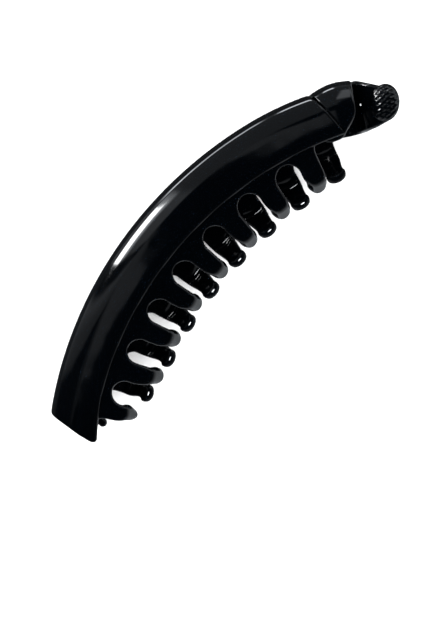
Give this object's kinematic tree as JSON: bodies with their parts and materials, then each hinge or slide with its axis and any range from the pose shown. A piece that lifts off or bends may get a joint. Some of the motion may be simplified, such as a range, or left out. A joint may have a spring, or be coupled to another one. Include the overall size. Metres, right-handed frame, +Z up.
{
  "type": "banana hair clip",
  "caption": "Curved banana hair clip with two combed arms hinged at one end and a springy tongue catch with a ridged thumb knob at the other.",
  "frame": {"origin": "middle of the underside, on the back arm's flat band that the closed clip rests on", "axes": "+X along the clip's length from the hinge to the clasp, +Y towards the rounded spine and away from the teeth, +Z up, from the back arm to the front arm"},
  "size_m": [0.1526, 0.047, 0.0234],
  "materials": {
    "black_plastic": "polished, mirror-like black"
  },
  "bodies": {
    "back_arm": {"back_comb": "black_plastic", "back_cover": "black_plastic", "hinge_pin": "black_plastic"},
    "front_arm": {"front_comb": "black_plastic", "front_cover": "black_plastic"}
  },
  "joints": [
    {"name": "arm_hinge", "type": "hinge", "parent": "back_arm", "child": "front_arm", "pos_m": [-0.06802, -0.00985, 0.0117], "axis": [0, -1, 0], "range_deg": [0, 65]}
  ]
}
